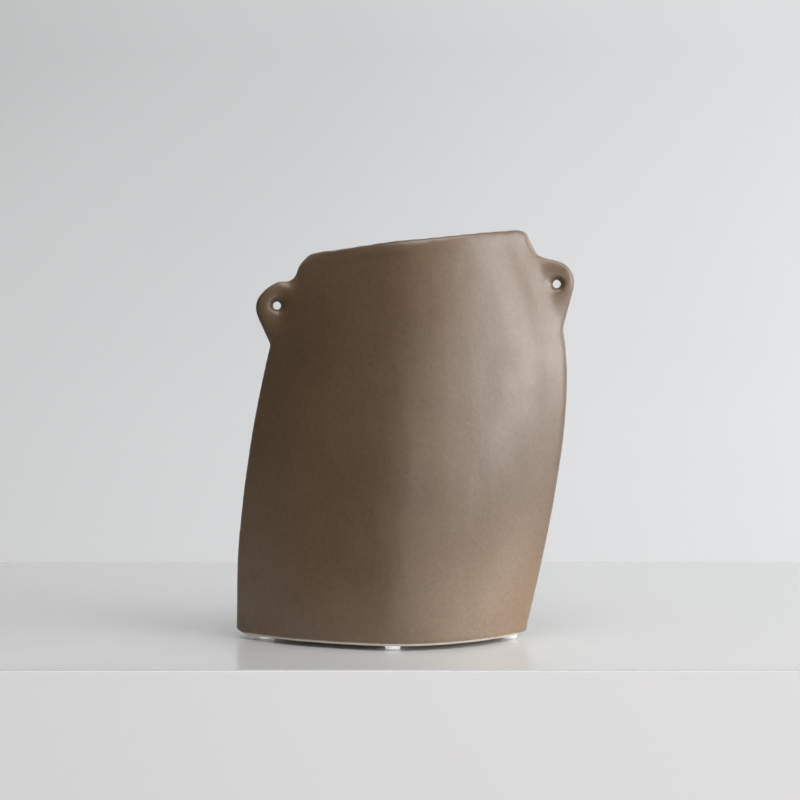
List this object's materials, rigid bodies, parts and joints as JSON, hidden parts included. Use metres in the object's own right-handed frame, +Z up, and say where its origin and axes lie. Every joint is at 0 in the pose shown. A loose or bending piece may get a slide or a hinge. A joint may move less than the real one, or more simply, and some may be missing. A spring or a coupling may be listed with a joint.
{
  "type": "pillow vase",
  "caption": "Slab-built pillow vase, lens-shaped in plan, with a sloping mouth and a pierced lug on each shoulder.",
  "frame": {"origin": "on the surface that the bumpers stand on, under the middle of the whole width and depth", "axes": "+Z up along the height, the front slab faces -Y, the high end of the mouth is towards +X"},
  "size_m": [0.1685, 0.078, 0.2036],
  "materials": {
    "satin_glaze": "satin taupe glaze over stoneware",
    "clear_silicone": "clear soft silicone"
  },
  "bodies": {
    "root": {"front_wall": "satin_glaze", "back_wall": "satin_glaze", "floor_slab": "satin_glaze", "left_lug": "satin_glaze", "right_lug": "satin_glaze", "left_seam_coil": "satin_glaze", "right_seam_coil": "satin_glaze", "floor_seam_coil": "satin_glaze", "left_bumper": "clear_silicone", "right_bumper": "clear_silicone", "front_bumper": "clear_silicone", "back_bumper": "clear_silicone"}
  },
  "joints": []
}
